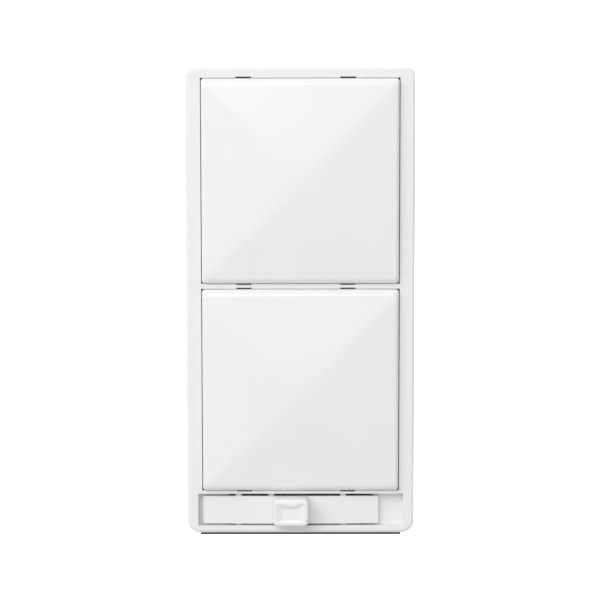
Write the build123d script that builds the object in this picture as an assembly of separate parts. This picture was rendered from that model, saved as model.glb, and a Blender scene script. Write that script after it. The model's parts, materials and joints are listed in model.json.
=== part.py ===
from build123d import *
import math
import os

# Wall dimmer module: two rocking keys above a horizontal dimming slide, in a decorator-size bezel.
# Millimetres. +Z is up, the face looks along -Y, and +X is to the right of someone facing it.
# The origin is the middle of the bezel's rear rim, the plane that rests on the cover or panel.

# ---------------------------------------------------------------- driving sizes: the face
FACE_WIDTH = 32.5
FACE_HEIGHT = 66.7
FACE_Y = -6.0
TOP_BORDER = 1.57
KEY_OPENING_WIDTH = 28.2
KEY_OPENING_HEIGHT = 29.2
CROSSBAR = 0.6
SLIDE_BAR = 0.42
SLIDE_OPENING_WIDTH = 29.35
SLIDE_OPENING_HEIGHT = 4.69
TOP_CORNER_R = 1.3
BOTTOM_CORNER_R = 1.75
FACE_EDGE_R = 0.65
FACE_THICKNESS = 1.6
CAVITY_WIDTH = 29.3
CAVITY_HEIGHT = 64.0
CORE_SLOT_XS = (-8.0, 6.75)
CORE_SLOT_WIDTH = 2.15
CORE_SLOT_DEPTH = 0.16
CATCH_X = 9.0
CATCH_WIDTH = 5.0
CATCH_GAP = 0.1

# ---------------------------------------------------------------- driving sizes: the keys
KEY_GAP = 0.12
KEY_PROUD = 1.0
KEY_CROWN = 1.6
CROWN_SINK = 0.02
KEY_CORNER_R = 0.8
KEY_EDGE_R = 0.75
KEY_WALL = 1.4
KEY_FRONT_THICKNESS = 1.5
KEY_BACK_Y = -2.9
PIVOT_Y = -4.4
PIN_R = 0.75
PIN_CLEARANCE = 0.05
LUG_X = 8.6
LUG_THICKNESS = 1.8
RIB_Z = 9.0
RIB_TIP_Y = -2.35
LUG_HEIGHT = 4.0
LUG_BACK_Y = -3.2
SNAP_SLOT = 1.2
RIB_WIDTH = 3.0
RIB_THICKNESS = 1.6
CROWN_TIP = 0.3
DOME_PLAY = 0.05
DOME_PILL_R = 1.0
DOME_TOP_R = 1.5
DOME_FOOT_R = 2.7
DOME_SKIN = 0.7
DOME_HEIGHT = 1.4
DOME_SHOULDER = 0.55
DOME_KNEE = 1.05
DOME_PILL_DEPTH = 1.0
DOME_ROOF = 0.7
DOME_RIM = 1.15

# ---------------------------------------------------------------- driving sizes: the slide
SLIDE_X = -1.4
STRIP_LENGTH = 25.2
STRIP_HEIGHT = 3.99
STRIP_GAP_ABOVE = 0.45
STRIP_FRONT_Y = -5.7
STRIP_BOW = 0.35
TROUGH_Y = -4.6
TROUGH_THICKNESS = 0.8
SLIDE_PLAY = 0.05
SLIDE_LEFT = 0.6
SLIDE_RIGHT = 3.4
KNOB_WIDTH = 5.3
KNOB_END_WIDTH = 4.5
KNOB_HEIGHT = 3.9
KNOB_RISE = 0.13
KNOB_FRONT_Y = -8.7
KNOB_EDGE_R = 0.35
KNOB_LIP = 0.5
KNOB_DISH = 0.45
KNOB_DISH_WIDTH = 3.3
KNOB_SOCKET_Y = -7.0
STRIP_CORNER_R = 0.25
NUB_X = 7.5
NUB_MIDDLE_X = 2.8
NUB_WIDTH = 0.8
NUB_TOP = 0.35
NUB_BOTTOM = 0.2
NUB_DEPTH = 0.7
STEM_WIDTH = 2.4
STEM_HEIGHT = 1.6
STEM_END_GAP = 0.15
STEM_BACK_Y = -2.5
BOSS_WIDTH = 2.6
BOSS_HEIGHT = 1.8
CARRIAGE_LENGTH = 8.0
CARRIAGE_FRONT_Y = -3.6
CARRIAGE_BACK_Y = -2.15
CARRIAGE_CORNER_R = 0.4
CARRIAGE_FOOT_GAP = 0.4
LEVER_WIDTH = 1.4
LEVER_DEPTH = 0.7
LEVER_TIP_Y = -3.2
POT_LEVER_Z = -28.0
POT_FRONT_Y = -0.75
POT_BACK_Y = 4.5
POT_LENGTH = 14.0
POT_WIDTH = 3.8
POT_FLOOR = 0.8
POT_ROOF = 1.2
POT_CHAMBER_WIDTH = 2.6
POT_SLOT_WIDTH = 1.1
POT_CORNER_R = 0.3
WIPER_Y = 1.4
WIPER_LENGTH = 3.0
WIPER_WIDTH = 2.2
WIPER_THICKNESS = 0.7
WIPER_FINGER_Z = 0.6
WIPER_FINGER_WIDTH = 0.5
WIPER_FINGER_THICKNESS = 0.4
LEVER_SLOT_GAP = 0.4

# ---------------------------------------------------------------- driving sizes: the inside
CARRIER_FRONT_Y = -2.0
CARRIER_BACK_Y = -0.8
CARRIER_SIDE_GAP = 0.2
CARRIER_END_GAP = 0.3
CARRIER_LEVER_SLOT = 1.2
POST_X = 11.0
POST_THICKNESS = 1.8
POST_TOP_Y = -5.2
POST_HEIGHT = 3.2
GUSSET_TOP_Y = -3.2
GUSSET_HEIGHT = 6.0
DOME_WINDOW = 6.4
DOME_WINDOW_R = 0.5
BOARD_THICKNESS = 1.2
HOUSING_WIDTH = 29.1
HOUSING_HEIGHT = 62.4
HOUSING_BACK_Y = 25.0
HOUSING_WALL = 1.2
HOUSING_CORNER_R = 1.0
HOUSING_CHAMFER = 0.5
BACK_WALL = 1.4
SCREW_X = 10.4
SCREW_R = 0.9
SCREW_INSET_Z = 10.5
SCREW_HEAD_R = 1.7
SCREW_HEAD_HEIGHT = 1.1
SCREW_HEAD_EDGE_R = 0.4
SCREW_END_Y = 7.5
SCREW_CROSS = (1.9, 0.45, 0.6)
BOSS_END_Y = 9.0
BOSS_R = 2.4
CLIP_RECESS = 0.7
CLIP_WIDTH = 8.0
CLIP_END_Y = 18.0
CLIP_THICKNESS = 0.45
CLIP_BARB_X = 15.9
CLIP_BARB_Y = 2.4
CLIP_LEAF_END = 1.2
CLIP_NOSE = 0.35
CLIP_PAD = 1.0
POWER_BOARD_THICKNESS = 1.6
TERMINAL_COUNT = 5
TERMINAL_PITCH = 5.2
WIRE_R = 1.7
WIRE_Z = -21.5
TERMINAL_SCREW_Z = -26.4
TERMINAL_HEAD_R = 2.0
TERMINAL_SHANK_R = 1.4
TERMINAL_SLOT = (0.6, 0.7)
CLAMP_FRONT_Y = 17.0
CLAMP_WIDTH = 4.2
CLAMP_MARGIN = 2.3
CLAMP_WIRE_DEPTH = 5.0
CLAMP_LEG = (2.0, 0.8)
CLAMP_BACK_GAP = 0.3
CHIP_SIDE = 7.0
CHIP_SPAN = 9.4
CHIP_THICKNESS = 1.3
CHIP_LEADS = 8
CHIP_LEAD_PITCH = 0.8
CHIP_LEAD = (0.35, 0.3)
CHIP_X = 4.0
CHIP_Z = 5.0
HEADER_Z = 14.5
HEADER_PINS = 6
HEADER_PITCH = 2.54
HEADER_BAR = (15.6, 2.5)
HEADER_PIN_WIDTH = 0.64
RELAY_SIZE = (10.0, 18.0, 11.5)
RELAY_PLACE = (-6.8, 19.5)
CAPACITOR_SIZE = (6.0, 13.0, 11.0)
CAPACITOR_PLACE = (8.4, 21.5)
CASE_CORNER_R = 0.55
CASE_EDGE_R = 0.4
CAN_R = 3.4
CAN_HEIGHT = 11.0
CAN_EDGE_R = 0.5
CAN_GROOVE_HEIGHT = 1.6
CAN_GROOVE_R = 0.4
CAN_PLACE = (7.6, 10.6)
CHOKE_X = -5.8
CHOKE_Z = 2.0
CHOKE_RISE = 4.0
CHOKE_MAJOR_R = 4.0
CHOKE_MINOR_R = 1.5
CHOKE_WIRE_R = 0.35
CHOKE_WIRE_GAP = 0.03
CHOKE_TURNS = 14
VARISTOR_R = 3.6
VARISTOR_THICKNESS = 2.6
VARISTOR_EDGE_R = 0.6
VARISTOR_PLACE = (8.0, 2.6)
VARISTOR_RISE = 4.6
FUSE_R = 1.1
FUSE_LENGTH = 6.0
FUSE_CAP_R = 1.4
FUSE_CAP_LENGTH = 1.6
FUSE_CAP_X = 3.8
FUSE_RISE = 1.5
FUSE_PLACE = (4.6, -2.6)
TRIAC_XS = (-6.2, 6.2)
TRIAC_Z = -10.4
TRIAC_SIZE = (10.0, 9.0)
TRIAC_FRONT_Y = 15.8
TRIAC_HOLE_R = 1.6
TRIAC_HOLE_DROP = 2.0
TRIAC_LEG_PITCH = 2.54
TRIAC_LEG = (0.8, 0.6)
TRIAC_LEG_RISE = 3.5
TRIAC_SCREW_R = 1.4
TRIAC_SCREW_HEAD = (2.4, 1.0)
SHEET_FRONT_Y = 20.3
SHEET_THICKNESS = 0.3
SPREADER_THICKNESS = 1.6
SPREADER_SIZE = (23.6, 11.0)
OVERLAP = 0.2
BEYOND = 1.0

# ---------------------------------------------------------------- worked out from the above
FACE_TOP = FACE_HEIGHT / 2
UPPER_OPENING_TOP = FACE_TOP - TOP_BORDER
UPPER_KEY_Z = UPPER_OPENING_TOP - KEY_OPENING_HEIGHT / 2
LOWER_OPENING_TOP = UPPER_OPENING_TOP - KEY_OPENING_HEIGHT - CROSSBAR
LOWER_KEY_Z = LOWER_OPENING_TOP - KEY_OPENING_HEIGHT / 2
SLIDE_OPENING_TOP = LOWER_OPENING_TOP - KEY_OPENING_HEIGHT - SLIDE_BAR
SLIDE_OPENING_Z = SLIDE_OPENING_TOP - SLIDE_OPENING_HEIGHT / 2
STRIP_Z = SLIDE_OPENING_TOP - STRIP_GAP_ABOVE - STRIP_HEIGHT / 2
KNOB_Z = STRIP_Z + KNOB_RISE
KNOB_BACK_Y = STRIP_FRONT_Y - SLIDE_PLAY
POT_X = SLIDE_X + (SLIDE_RIGHT - SLIDE_LEFT) / 2
KEY_WIDTH = KEY_OPENING_WIDTH - 2 * KEY_GAP
KEY_HEIGHT = KEY_OPENING_HEIGHT - 2 * KEY_GAP
KEY_EDGE_Y = FACE_Y - KEY_PROUD
KEY_INNER_Y = KEY_EDGE_Y + KEY_FRONT_THICKNESS
KEY_CENTRES = {"upper": UPPER_KEY_Z, "lower": LOWER_KEY_Z}
BOARD_BACK_Y = CARRIER_BACK_Y + BOARD_THICKNESS
POWER_BACK_Y = BOSS_END_Y + POWER_BOARD_THICKNESS
CHOKE_Y = POWER_BACK_Y + CHOKE_RISE
BACK_WALL_Y = HOUSING_BACK_Y - BACK_WALL
CLAMP_BACK_Y = BACK_WALL_Y - CLAMP_BACK_GAP
SPREADER_FRONT_Y = SHEET_FRONT_Y + SHEET_THICKNESS
SPREADER_BACK_Y = SPREADER_FRONT_Y + SPREADER_THICKNESS
HOUSING_INNER_WIDTH = HOUSING_WIDTH - 2 * HOUSING_WALL
HOUSING_INNER_HEIGHT = HOUSING_HEIGHT - 2 * HOUSING_WALL
SCREW_ZS = (UPPER_KEY_Z + SCREW_INSET_Z, LOWER_KEY_Z - SCREW_INSET_Z)
SCREW_PLACES = [(x, z) for z in SCREW_ZS for x in (-SCREW_X, SCREW_X)]
DOME_PLACES = {side: (z - RIB_Z, z + RIB_Z) for side, z in KEY_CENTRES.items()}
TERMINAL_XS = [(i - (TERMINAL_COUNT - 1) / 2) * TERMINAL_PITCH for i in range(TERMINAL_COUNT)]

os.makedirs("parts", exist_ok=True)


def block(width, height, front_y, back_y, x=0.0, z=0.0, corner_r=0.0):
    """A box given by its width along X, height along Z and two Y planes, its four Y edges rounded."""
    solid = Pos(x, (front_y + back_y) / 2, z) * Box(width, back_y - front_y, height)
    if corner_r > 0:
        solid = fillet(solid.edges().filter_by(Axis.Y), corner_r)
    return solid


def rod_y(radius, front_y, back_y, x, z):
    """A cylinder along Y."""
    middle = (front_y + back_y) / 2
    return Pos(x, middle, z) * Rot(90, 0, 0) * Cylinder(radius, back_y - front_y)


def rod_x(radius, length, x, y, z):
    """A cylinder along X, centred on x."""
    return Pos(x, y, z) * Rot(0, 90, 0) * Cylinder(radius, length)


def save(name, *solids):
    """Write one node: a single solid, or several separate solids as one group."""
    shape = solids[0] if len(solids) == 1 else Compound(children=list(solids))
    export_step(shape, f"parts/{name}.step")


# ---------------------------------------------------------------- the face
def bezel_frame():
    """The outer frame: two key openings, the slide's trough and four catches for the carrier."""
    body = block(FACE_WIDTH, FACE_HEIGHT, FACE_Y, 0)
    upright = body.edges().filter_by(Axis.Y).sort_by(Axis.Z)
    body = fillet(upright[:2], BOTTOM_CORNER_R)
    upright = body.edges().filter_by(Axis.Y).sort_by(Axis.Z)
    body = fillet(upright[-2:], TOP_CORNER_R)
    body = fillet(body.faces().sort_by(Axis.Y)[0].edges(), FACE_EDGE_R)
    body -= block(CAVITY_WIDTH, CAVITY_HEIGHT, FACE_Y + FACE_THICKNESS, BEYOND)
    for centre_z in KEY_CENTRES.values():
        body -= block(KEY_OPENING_WIDTH, KEY_OPENING_HEIGHT, FACE_Y - BEYOND, 0, z=centre_z)
        for edge_z in (centre_z - KEY_OPENING_HEIGHT / 2, centre_z + KEY_OPENING_HEIGHT / 2):
            for x in CORE_SLOT_XS:
                body -= block(CORE_SLOT_WIDTH, 2 * CORE_SLOT_DEPTH, FACE_Y - BEYOND, 0, x, edge_z)
    trough_back_y = TROUGH_Y + TROUGH_THICKNESS
    trough_height = SLIDE_OPENING_HEIGHT + SLIDE_BAR / 2
    body += block(CAVITY_WIDTH, trough_height, FACE_Y + FACE_THICKNESS, trough_back_y,
                  z=SLIDE_OPENING_Z + SLIDE_BAR / 4)
    body -= block(SLIDE_OPENING_WIDTH, SLIDE_OPENING_HEIGHT, FACE_Y - BEYOND, TROUGH_Y, z=SLIDE_OPENING_Z)
    slot_left = SLIDE_X - STEM_WIDTH / 2 - SLIDE_LEFT - STEM_END_GAP
    slot_right = SLIDE_X + STEM_WIDTH / 2 + SLIDE_RIGHT + STEM_END_GAP
    slot_middle = (slot_left + slot_right) / 2
    body -= block(slot_right - slot_left, STEM_HEIGHT + 2 * STEM_END_GAP, FACE_Y, 0, slot_middle, STRIP_Z)
    catch_height = (CAVITY_HEIGHT - HOUSING_HEIGHT) / 2 - 2 * CATCH_GAP
    for side in (-1, 1):
        catch_z = side * (CAVITY_HEIGHT - catch_height) / 2
        for x in (-CATCH_X, CATCH_X):
            body += block(CATCH_WIDTH, catch_height, CARRIER_BACK_Y + SLIDE_PLAY, -CATCH_GAP, x, catch_z)
    return body


# ---------------------------------------------------------------- the keys
def key_cap(centre_z):
    """A hollow key: a rounded block with a shallow pyramid on its front, two snap lugs and two ribs.

    The pyramid starts where its slope is the same as the rounded edge's, sunk in a little.
    """
    slope = math.atan(KEY_CROWN / (KEY_WIDTH / 2))
    inset = KEY_EDGE_R * (1 - math.sin(slope))
    start_y = KEY_EDGE_Y - inset * math.tan(slope)
    front_y = start_y - KEY_EDGE_R * (1 - math.cos(slope))
    cap = block(KEY_WIDTH, KEY_HEIGHT, front_y, KEY_BACK_Y, z=centre_z, corner_r=KEY_CORNER_R)
    cap = fillet(cap.faces().sort_by(Axis.Y)[0].edges(), KEY_EDGE_R)
    foot = Plane(origin=(0, start_y + CROWN_SINK, centre_z), x_dir=(1, 0, 0), z_dir=(0, -1, 0))
    tip = Plane(origin=(0, KEY_EDGE_Y - KEY_CROWN, centre_z), x_dir=(1, 0, 0), z_dir=(0, -1, 0))
    base = foot * Rectangle(KEY_WIDTH - 2 * inset, KEY_HEIGHT - 2 * inset)
    cap += loft([base, tip * Rectangle(CROWN_TIP, CROWN_TIP)])
    inner_width = KEY_WIDTH - 2 * KEY_WALL
    inner_height = KEY_HEIGHT - 2 * KEY_WALL
    cap -= block(inner_width, inner_height, KEY_INNER_Y, KEY_BACK_Y + BEYOND, z=centre_z)
    for side in (-1, 1):
        cap += key_lug(side * LUG_X, centre_z)
        rib_z = centre_z + side * RIB_Z
        cap += block(RIB_WIDTH, RIB_THICKNESS, KEY_INNER_Y - OVERLAP, RIB_TIP_Y, z=rib_z)
    return cap


def key_lug(x, z):
    """A lug that snaps over the pivot pin through a slot narrower than the pin."""
    lug = block(LUG_THICKNESS, LUG_HEIGHT, KEY_INNER_Y - OVERLAP, LUG_BACK_Y, x, z)
    lug -= rod_x(PIN_R + PIN_CLEARANCE, LUG_THICKNESS + BEYOND, x, PIVOT_Y, z)
    lug -= block(LUG_THICKNESS + BEYOND, SNAP_SLOT, PIVOT_Y, LUG_BACK_Y + BEYOND, x, z)
    return lug


def key_pin(centre_z):
    """The steel pin that a key rocks on, held at both ends by the carrier's posts."""
    return rod_x(PIN_R, 2 * POST_X + POST_THICKNESS, 0, PIVOT_Y, centre_z)


def key_dome(z):
    """A silicone return dome: a hollow cone on a round foot, with a solid contact pill inside."""
    base_y = CARRIER_BACK_Y
    tip_y = RIB_TIP_Y + DOME_PLAY
    outline = [
        (0, 0),
        (DOME_PILL_R, 0),
        (DOME_TOP_R, DOME_SHOULDER),
        (DOME_FOOT_R, DOME_KNEE),
        (DOME_FOOT_R, DOME_HEIGHT),
        (DOME_FOOT_R - DOME_SKIN, DOME_HEIGHT),
        (DOME_FOOT_R - DOME_SKIN, DOME_RIM),
        (DOME_PILL_R, DOME_ROOF),
        (DOME_PILL_R, DOME_PILL_DEPTH),
        (0, DOME_PILL_DEPTH),
    ]
    height = base_y - tip_y
    points = [(r, tip_y + d * height / DOME_HEIGHT) for r, d in outline]
    profile = make_face(Polyline(*points, close=True))
    return Pos(0, 0, z) * revolve(profile, Axis.Y)


# ---------------------------------------------------------------- the slide
def slide_strip():
    """The moving strip: a bowed face, edge nubs that ride in the trough, a stem and a knob boss."""
    half = STRIP_LENGTH / 2
    back_y = TROUGH_Y - SLIDE_PLAY
    end_y = STRIP_FRONT_Y + STRIP_BOW
    front = ThreePointArc((-half, end_y), (0, STRIP_FRONT_Y), (half, end_y))
    outline = front + Polyline((half, end_y), (half, back_y), (-half, back_y), (-half, end_y))
    strip = Pos(SLIDE_X, 0, STRIP_Z - STRIP_HEIGHT / 2) * extrude(make_face(outline), STRIP_HEIGHT)
    strip = fillet(strip.edges().filter_by(Axis.Y), STRIP_CORNER_R)
    for dx, tall in ((-NUB_X, True), (-NUB_MIDDLE_X, True), (NUB_X, True), (-NUB_X, False), (NUB_X, False)):
        rise = NUB_TOP if tall else NUB_BOTTOM
        edge = STRIP_Z + (STRIP_HEIGHT if tall else -STRIP_HEIGHT) / 2
        strip += block(NUB_WIDTH, 2 * rise, back_y - NUB_DEPTH, back_y, SLIDE_X + dx, edge)
    strip += block(STEM_WIDTH, STEM_HEIGHT, back_y - OVERLAP, STEM_BACK_Y, SLIDE_X, STRIP_Z)
    strip += block(BOSS_WIDTH, BOSS_HEIGHT, KNOB_SOCKET_Y, back_y - OVERLAP, SLIDE_X, STRIP_Z)
    return strip


def slide_knob():
    """The finger knob: round-sided, with a dish across its front, and a socket for the strip's boss."""
    half_end = KNOB_END_WIDTH / 2
    half_mid = KNOB_WIDTH / 2
    half_height = KNOB_HEIGHT / 2
    right = ThreePointArc((half_end, -half_height), (half_mid, 0), (half_end, half_height))
    left = ThreePointArc((-half_end, half_height), (-half_mid, 0), (-half_end, -half_height))
    top = Line((half_end, half_height), (-half_end, half_height))
    bottom = Line((-half_end, -half_height), (half_end, -half_height))
    plan = make_face(right + top + left + bottom)
    sketch_plane = Plane(origin=(SLIDE_X, KNOB_BACK_Y, KNOB_Z), x_dir=(1, 0, 0), z_dir=(0, -1, 0))
    knob = extrude(sketch_plane * plan, KNOB_BACK_Y - KNOB_FRONT_Y)
    knob = fillet(knob.faces().sort_by(Axis.Y)[0].edges(), KNOB_EDGE_R)
    chord = KNOB_HEIGHT / 2 - KNOB_LIP
    dish_r = (chord ** 2 + KNOB_DISH ** 2) / (2 * KNOB_DISH)
    knob -= rod_x(dish_r, KNOB_DISH_WIDTH, SLIDE_X, KNOB_FRONT_Y + KNOB_DISH - dish_r, KNOB_Z)
    knob -= block(BOSS_WIDTH, BOSS_HEIGHT, KNOB_SOCKET_Y, STRIP_FRONT_Y + BEYOND, SLIDE_X, STRIP_Z)
    return knob


def slide_carriage():
    """The carriage behind the trough: it holds the strip's stem and pushes the pot's lever."""
    bottom_z = -CAVITY_HEIGHT / 2 + CARRIAGE_FOOT_GAP
    top_z = SLIDE_OPENING_TOP - SLIDE_PLAY
    middle_z = (top_z + bottom_z) / 2
    cut_front_y = CARRIAGE_FRONT_Y - BEYOND
    cut_back_y = CARRIAGE_BACK_Y + BEYOND
    body = block(CARRIAGE_LENGTH, top_z - bottom_z, CARRIAGE_FRONT_Y, CARRIAGE_BACK_Y, SLIDE_X, middle_z,
                 CARRIAGE_CORNER_R)
    body -= block(STEM_WIDTH, STEM_HEIGHT, cut_front_y, cut_back_y, SLIDE_X, STRIP_Z)
    notch_top = top_z + BEYOND
    notch_bottom = POT_LEVER_Z - LEVER_DEPTH / 2 - 2 * SLIDE_PLAY
    notch_width = LEVER_WIDTH + 2 * SLIDE_PLAY
    notch_middle = (notch_top + notch_bottom) / 2
    body -= block(notch_width, notch_top - notch_bottom, cut_front_y, cut_back_y, SLIDE_X, notch_middle)
    return body


def slide_pot_lever():
    """The potentiometer's steel lever, which rides in the carriage's notch."""
    return block(LEVER_WIDTH, LEVER_DEPTH, LEVER_TIP_Y, WIPER_Y, SLIDE_X, POT_LEVER_Z)


def pot_wiper():
    """The wiper at the lever's inner end, with two contact fingers on the resistive track."""
    back_y = WIPER_Y + WIPER_THICKNESS
    track_y = POT_BACK_Y - POT_FLOOR - 2 * SLIDE_PLAY
    body = block(WIPER_LENGTH, WIPER_WIDTH, WIPER_Y, back_y, SLIDE_X, POT_LEVER_Z)
    for finger_z in (POT_LEVER_Z - WIPER_FINGER_Z, POT_LEVER_Z + WIPER_FINGER_Z):
        body += block(WIPER_FINGER_WIDTH, WIPER_FINGER_THICKNESS, back_y - OVERLAP, track_y, SLIDE_X,
                      finger_z)
    return body


def slide_pot_body():
    """The potentiometer's body: a box with a track chamber and a slot for the lever."""
    travel = SLIDE_LEFT + SLIDE_RIGHT
    chamber_length = travel + WIPER_LENGTH + LEVER_SLOT_GAP
    chamber_y = POT_FRONT_Y + POT_ROOF
    slot_length = travel + LEVER_WIDTH + LEVER_SLOT_GAP
    body = block(POT_LENGTH, POT_WIDTH, POT_FRONT_Y, POT_BACK_Y, POT_X, POT_LEVER_Z, POT_CORNER_R)
    body -= block(chamber_length, POT_CHAMBER_WIDTH, chamber_y, POT_BACK_Y - POT_FLOOR, POT_X, POT_LEVER_Z)
    body -= block(slot_length, POT_SLOT_WIDTH, POT_FRONT_Y - BEYOND, chamber_y + OVERLAP, POT_X, POT_LEVER_Z)
    return body


# ---------------------------------------------------------------- the carrier and its screws
def key_carrier():
    """The plate behind the keys: pivot posts, holes for the domes, the lever's slot, screw holes."""
    width = CAVITY_WIDTH - CARRIER_SIDE_GAP
    height = CAVITY_HEIGHT - CARRIER_END_GAP
    through_y = CARRIER_FRONT_Y - BEYOND
    post_foot_y = CARRIER_FRONT_Y + OVERLAP
    plate = block(width, height, CARRIER_FRONT_Y, CARRIER_BACK_Y)
    for side, centre_z in KEY_CENTRES.items():
        for x in (-POST_X, POST_X):
            post = block(POST_THICKNESS, POST_HEIGHT, POST_TOP_Y, post_foot_y, x, centre_z)
            gusset = block(POST_THICKNESS, GUSSET_HEIGHT, GUSSET_TOP_Y, post_foot_y, x, centre_z)
            plate += post + gusset
            plate -= rod_x(PIN_R, POST_THICKNESS + BEYOND, x, PIVOT_Y, centre_z)
        for z in DOME_PLACES[side]:
            plate -= block(DOME_WINDOW, DOME_WINDOW, through_y, 0, 0, z, DOME_WINDOW_R)
    for x, z in SCREW_PLACES:
        plate -= rod_y(SCREW_R + OVERLAP, through_y, 0, x, z)
    slot_length = SLIDE_LEFT + SLIDE_RIGHT + LEVER_WIDTH + LEVER_SLOT_GAP
    plate -= block(slot_length, CARRIER_LEVER_SLOT, through_y, 0, POT_X, POT_LEVER_Z)
    return plate


def carrier_screw(x, z):
    """A pan-head screw with a cross slot that clamps the carrier and the board to the housing."""
    head_y = CARRIER_FRONT_Y - SCREW_HEAD_HEIGHT
    head = rod_y(SCREW_HEAD_R, head_y, CARRIER_FRONT_Y, x, z)
    head = fillet(head.faces().sort_by(Axis.Y)[0].edges(), SCREW_HEAD_EDGE_R)
    screw = head + rod_y(SCREW_R, CARRIER_FRONT_Y, SCREW_END_Y, x, z)
    length, width, depth = SCREW_CROSS
    screw -= block(length, width, head_y - BEYOND, head_y + depth, x, z)
    screw -= block(width, length, head_y - BEYOND, head_y + depth, x, z)
    return screw


# ---------------------------------------------------------------- the control board
def control_board():
    """The board behind the keys, stopping short of the potentiometer."""
    top_z = HOUSING_INNER_HEIGHT / 2 - OVERLAP
    bottom_z = POT_LEVER_Z + POT_WIDTH / 2 + OVERLAP
    board = block(HOUSING_INNER_WIDTH - CARRIER_END_GAP, top_z - bottom_z, CARRIER_BACK_Y, BOARD_BACK_Y,
                  z=(top_z + bottom_z) / 2)
    for x, z in SCREW_PLACES:
        board -= rod_y(SCREW_R + OVERLAP, CARRIER_BACK_Y - BEYOND, BOARD_BACK_Y + BEYOND, x, z)
    return board


def control_chip():
    """The controller: a square body with gull-wing leads along two sides."""
    lead_width, lead_thickness = CHIP_LEAD
    body_y = BOARD_BACK_Y + lead_thickness / 2
    body = block(CHIP_SIDE, CHIP_SIDE, body_y, body_y + CHIP_THICKNESS, CHIP_X, CHIP_Z)
    for i in range(CHIP_LEADS):
        lead_z = CHIP_Z + (i - (CHIP_LEADS - 1) / 2) * CHIP_LEAD_PITCH
        body += block(CHIP_SPAN, lead_width, BOARD_BACK_Y, BOARD_BACK_Y + lead_thickness, CHIP_X, lead_z)
    return body


def board_header():
    """The header between the two boards: a moulded bar with a row of pins."""
    length, side = HEADER_BAR
    bar = block(length, side, BOARD_BACK_Y, BOARD_BACK_Y + side, 0, HEADER_Z)
    for i in range(HEADER_PINS):
        pin_x = (i - (HEADER_PINS - 1) / 2) * HEADER_PITCH
        bar += block(HEADER_PIN_WIDTH, HEADER_PIN_WIDTH, BOARD_BACK_Y + OVERLAP, BOSS_END_Y, pin_x, HEADER_Z)
    return bar


# ---------------------------------------------------------------- the rear housing
def rear_housing():
    """The insulating tub: screw bosses, board rests, clip recesses, wire and screw holes in its back."""
    tub = block(HOUSING_WIDTH, HOUSING_HEIGHT, CARRIER_BACK_Y, HOUSING_BACK_Y)
    tub = fillet(tub.edges().filter_by(Axis.Y), HOUSING_CORNER_R)
    tub = chamfer(tub.faces().sort_by(Axis.Y)[-1].edges(), HOUSING_CHAMFER)
    tub -= block(HOUSING_INNER_WIDTH, HOUSING_INNER_HEIGHT, CARRIER_BACK_Y - BEYOND, BACK_WALL_Y)
    inner_x = HOUSING_INNER_WIDTH / 2
    boss_inner_x = SCREW_X - BOSS_R
    boss_width = inner_x - boss_inner_x + OVERLAP
    for x, z in SCREW_PLACES:
        side = math.copysign(1, x)
        boss_x = side * (boss_inner_x + boss_width / 2)
        tub += block(boss_width, 2 * BOSS_R, BOARD_BACK_Y, BOSS_END_Y, boss_x, z)
        tub -= rod_y(SCREW_R, BOARD_BACK_Y - BEYOND, SCREW_END_Y + OVERLAP, x, z)
    for side in (-1, 1):
        recess_x = side * (HOUSING_WIDTH / 2 - CLIP_RECESS / 2)
        tub -= block(CLIP_RECESS, CLIP_WIDTH + 2 * OVERLAP, CARRIER_BACK_Y - BEYOND, CLIP_END_Y + OVERLAP,
                     recess_x)
        pad_x = side * (inner_x - CLIP_PAD / 2 + OVERLAP / 2)
        tub += block(CLIP_PAD, CLIP_WIDTH + 3 * CLIP_PAD, BOARD_BACK_Y + OVERLAP, CLIP_END_Y + BEYOND, pad_x)
    for x in TERMINAL_XS:
        tub -= rod_y(WIRE_R, BACK_WALL_Y - BEYOND, HOUSING_BACK_Y + BEYOND, x, WIRE_Z)
        tub -= rod_y(TERMINAL_HEAD_R + OVERLAP, BACK_WALL_Y - BEYOND, HOUSING_BACK_Y + BEYOND, x,
                     TERMINAL_SCREW_Z)
    return tub


def side_clip(side):
    """A spring clip: a leaf in the housing's recess and a tongue that springs out behind the panel."""
    root_x = HOUSING_WIDTH / 2 - CLIP_RECESS + SLIDE_PLAY
    outer_x = root_x + CLIP_THICKNESS
    points = [
        (root_x, CLIP_BARB_Y - CLIP_LEAF_END),
        (outer_x, CLIP_BARB_Y - CLIP_LEAF_END),
        (outer_x, CLIP_END_Y - CLIP_LEAF_END),
        (CLIP_BARB_X, CLIP_BARB_Y + 3 * CLIP_NOSE),
        (CLIP_BARB_X - CLIP_NOSE, CLIP_BARB_Y),
        (CLIP_BARB_X + CLIP_THICKNESS - CLIP_NOSE, CLIP_BARB_Y),
        (CLIP_BARB_X + CLIP_THICKNESS, CLIP_BARB_Y + 3 * CLIP_NOSE),
        (outer_x, CLIP_END_Y),
        (root_x, CLIP_END_Y),
    ]
    profile = make_face(Polyline(*points, close=True))
    clip = Pos(0, 0, -CLIP_WIDTH / 2) * extrude(profile, CLIP_WIDTH)
    return clip if side > 0 else mirror(clip, Plane.YZ)


# ---------------------------------------------------------------- the power board and what it carries
def power_board():
    """The mains board, resting on the housing's bosses."""
    width = HOUSING_INNER_WIDTH - 2 * (CLIP_PAD + OVERLAP)
    return block(width, HOUSING_INNER_HEIGHT - 3 * OVERLAP, BOSS_END_Y, POWER_BACK_Y)


def case(size, place):
    """A moulded box on the mains board, with rounded corners and a rounded far edge."""
    width, height, depth = size
    body = block(width, height, POWER_BACK_Y, POWER_BACK_Y + depth, *place, CASE_CORNER_R)
    return fillet(body.faces().sort_by(Axis.Y)[-1].edges(), CASE_EDGE_R)


def load_relay():
    """The relay that switches the unlit circuit."""
    return case(RELAY_SIZE, RELAY_PLACE)


def film_capacitor():
    """The interference capacitor, a moulded box on edge."""
    return case(CAPACITOR_SIZE, CAPACITOR_PLACE)


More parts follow.
